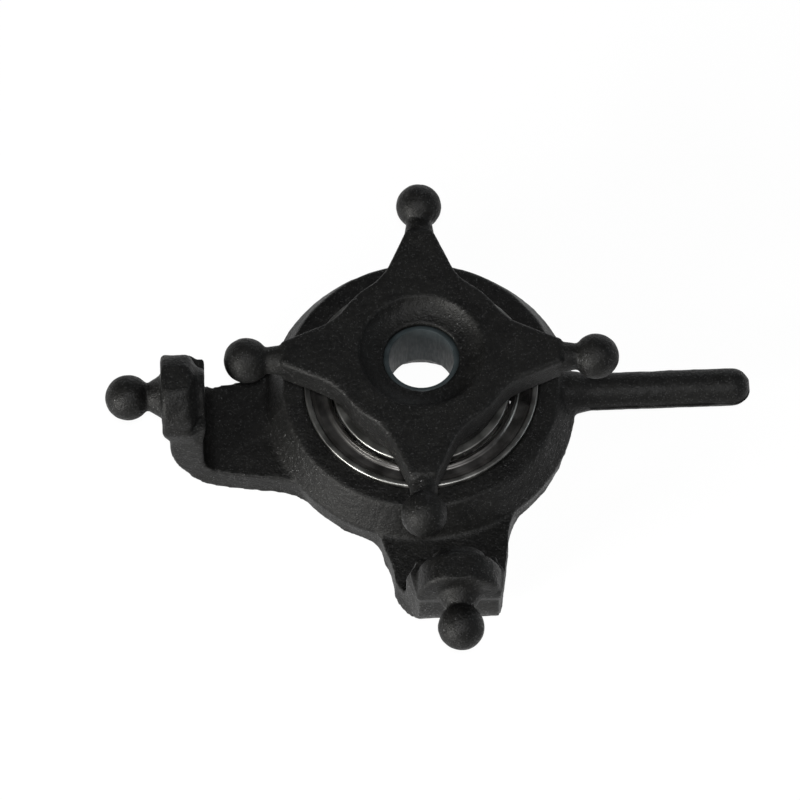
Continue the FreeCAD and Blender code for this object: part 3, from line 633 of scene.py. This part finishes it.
# %% The two races
TOP, MIDDLE, BOTTOM = -1.5, -3.5, -5.5
STEP_TOP, STEP_BOTTOM = -2.03, -4.97
OUTSIDE, STEP, OUTER_LAND = 9.0, 8.55, 8.151
INNER_LAND, INNER_BORE = 6.849, 6.0
PITCH_RADIUS, TRACK_RADIUS = 7.5, 1.01

outer_outline = [(OUTSIDE, BOTTOM, 0.15), (OUTSIDE, TOP, 0.15), (STEP, TOP, 0.10), (STEP, STEP_TOP, 0.03),
                 (OUTER_LAND, STEP_TOP, 0.05)]
outer_outline += arc(PITCH_RADIUS, MIDDLE, TRACK_RADIUS, 49.5, -49.5)
outer_outline += [(OUTER_LAND, STEP_BOTTOM, 0.05), (STEP, STEP_BOTTOM, 0.03), (STEP, BOTTOM, 0.10)]
inner_outline = [(INNER_BORE, TOP, 0.14), (INNER_BORE, BOTTOM, 0.14), (INNER_LAND, BOTTOM, 0.14)]
inner_outline += arc(PITCH_RADIUS, MIDDLE, TRACK_RADIUS, 229.7, 130.3) + [(INNER_LAND, TOP, 0.14)]
turned("tumbled_outer_race", "outer_race", "outer_ring", race_steel, rounded(outer_outline))
turned("tumbled_inner_race", "inner_race", "star", race_steel, rounded(inner_outline))

# %% [markdown]
# ### The stamped shields
# A shield is one thin sheet that keeps dust from the balls. It lies flat behind its clip, rises to a
# rolled bead at a radius of 7.3 mm and ends 0.12 mm lower at its hole. The Solidify modifier could give
# a single surface its thickness. Here the outline holds both faces: the outer one, and the same line
# one thickness behind.

# %% The stamped shields
UPPER_FACE, LOWER_FACE = -1.8, -5.2
SHEET_THICKNESS = 0.2
SHEET = [(8.52, 0.0, 0.05), (7.62, 0.0, 0.10), (7.44, 0.15, 0.12), (7.22, 0.15, 0.14), (7.10, -0.12, 0.08),
         (7.0, -0.12, 0.04)]


def shield_outline(face, up):
    """The sheet's outer face at a height, and its inner face one thickness behind; up is 1 or -1."""
    front = [(radius, face + up * rise, size) for radius, rise, size in SHEET]
    back = [(radius, face + up * (rise - SHEET_THICKNESS), size) for radius, rise, size in SHEET[::-1]]
    outline = front + back
    return rounded(outline if up > 0 else outline[::-1])


turned("stamped_upper_shield", "upper_shield", "outer_ring", shield_steel,
       shield_outline(UPPER_FACE, 1))
turned("stamped_lower_shield", "lower_shield", "outer_ring", shield_steel,
       shield_outline(LOWER_FACE, -1))

# %% [markdown]
# ### The pivot ball
# The ball is cut flat above and below and bored for the mast. A ready sphere would bunch its faces at
# the poles, just where the hole is, so the outline is one arc from flat to flat and a straight line for
# the hole.

# %% The pivot ball
BALL_RADIUS, FLAT_HEIGHT, BORE_RADIUS, BORE_EDGE = 3.7, 2.4, 2.5, 0.05

flat_angle = math.degrees(math.asin(FLAT_HEIGHT / BALL_RADIUS))
ball_outline = [(BORE_RADIUS, FLAT_HEIGHT, BORE_EDGE), (BORE_RADIUS, -FLAT_HEIGHT, BORE_EDGE)]
ball_outline += arc(0, 0, BALL_RADIUS, -flat_angle, flat_angle, 60)
turned("tumbled_pivot_ball", "pivot_ball", "pivot_ball", ball_acetal, rounded(ball_outline))

# %% [markdown]
# ## Floor
# The part stands on pale paper. More light would turn the paper white, but it would wash out the part
# too. So to the camera and in gloss most of the paper is a plain white of strength 1. A small share is
# the lit surface, and keeps the shadow. The floor lies a hair below the part's foot, because two faces
# in one plane would flicker.

# %% Floor finish
WHITE_SHARE = 0.95


def floor_finish():
    """Pale paper: to the camera and in gloss it shows white, with a part of the shadow that falls on it."""
    finish = Finish("floor_paper")
    finish.set(Base_Color=finish.mix(finish.noise(60 * MM), grey(0.93), grey(0.96)), Roughness=0.9)
    rays = finish.add("ShaderNodeLightPath").outputs
    seen = finish.math("MAXIMUM", rays["Is Camera Ray"], rays["Is Glossy Ray"])
    seen = finish.math("MAXIMUM", seen, rays["Is Transmission Ray"])
    white = finish.add("ShaderNodeEmission", Color=grey(1.0), Strength=1.0)
    blend = finish.add("ShaderNodeMixShader")
    finish.feed(blend.inputs[0], finish.math("MULTIPLY", seen, WHITE_SHARE))
    finish.feed(blend.inputs[1], finish.shader.outputs[0])
    finish.feed(blend.inputs[2], white.outputs[0])
    output = finish.tree.nodes["Material Output"]
    finish.feed(output.inputs["Surface"], blend.outputs[0])
    return finish.material


paper = floor_finish()
print("made", paper.name)

# %% Floor
FLOOR_Z = cad_low.z - 0.05 * MM

bpy.ops.mesh.primitive_plane_add(size=3.0, location=(0, 0, FLOOR_Z))
floor = bpy.context.object
floor.name = "floor"
dress(floor, paper)
print("floor at", round(FLOOR_Z / MM, 2), "mm")

# %% [markdown]
# ## Lamps
# Black plastic shows its form by where it shines. The key lamp stands low at the front left, so the
# walls that face it turn grey while level faces stay dark. A small strong lamp near the camera makes
# the fibre ends glint. Two weak lamps keep the right and the back from going black, and the world adds
# a trace of white from all round. One large lamp overhead would be softer, but it would turn the level
# faces grey.

# %% Lamps
def lamp(name, way, distance, size, watts, tint=(1, 1, 1)):
    """A square soft lamp that looks at the part from a direction."""
    data = bpy.data.lights.new(name, "AREA")
    data.size, data.energy, data.color = size, watts, tint
    thing = bpy.data.objects.new(name, data)
    bpy.context.scene.collection.objects.link(thing)
    way = Vector(way).normalized()
    thing.location = way * distance
    thing.rotation_euler = way.to_track_quat("Z", "Y").to_euler()
    print(name, "lamp:", watts, "W")


lamp("key", (-0.74, -0.62, 0.23), distance=0.50, size=0.16, watts=4.6, tint=(1.0, 0.99, 0.95))
lamp("flash", (-0.02, -0.44, 0.90), distance=0.55, size=0.03, watts=2.3)
lamp("side", (0.90, 0.10, 0.40), distance=0.50, size=0.16, watts=0.35, tint=(0.90, 0.97, 1.0))
lamp("rim", (0.25, 0.95, 0.22), distance=0.50, size=0.16, watts=0.35, tint=(0.95, 0.98, 1.0))

# %% World
WORLD_STRENGTH = 0.06

world = bpy.data.worlds.new("studio")
bpy.context.scene.world = world
world.use_nodes = True
background = world.node_tree.nodes["Background"]
background.inputs["Color"].default_value = grey(1.0)
background.inputs["Strength"].default_value = WORLD_STRENGTH
print("the world adds white light of strength", WORLD_STRENGTH)

# %% [markdown]
# ## Camera
# A long lens from about half a metre keeps the perspective flat. Its place could be typed in, but two
# angles and a distance from a point that it aims at are easier to change. The point lies a little left
# of the mast's axis, in front of it and below the pivot ball's centre. The Standard view shows each
# colour as it is written.

# %% Camera
AZIMUTH, ELEVATION = math.radians(-2.3), math.radians(62.0)
DISTANCE = 0.46
AIM = Vector((-0.0017, -0.0017, -0.001))
LENS = 270

level = math.cos(ELEVATION)
back = Vector((math.sin(AZIMUTH) * level, -math.cos(AZIMUTH) * level, math.sin(ELEVATION)))
camera_data = bpy.data.cameras.new("camera")
camera_data.lens = LENS
camera_data.sensor_width = 36
camera_data.clip_start, camera_data.clip_end = 0.01, 10
camera = bpy.data.objects.new("camera", camera_data)
camera.location = AIM + back * DISTANCE
camera.rotation_euler = (-back).to_track_quat("-Z", "Y").to_euler()
bpy.context.scene.collection.objects.link(camera)
bpy.context.scene.camera = camera
bpy.context.scene.view_settings.view_transform = "Standard"
print("camera at", [round(value, 3) for value in camera.location], "m")
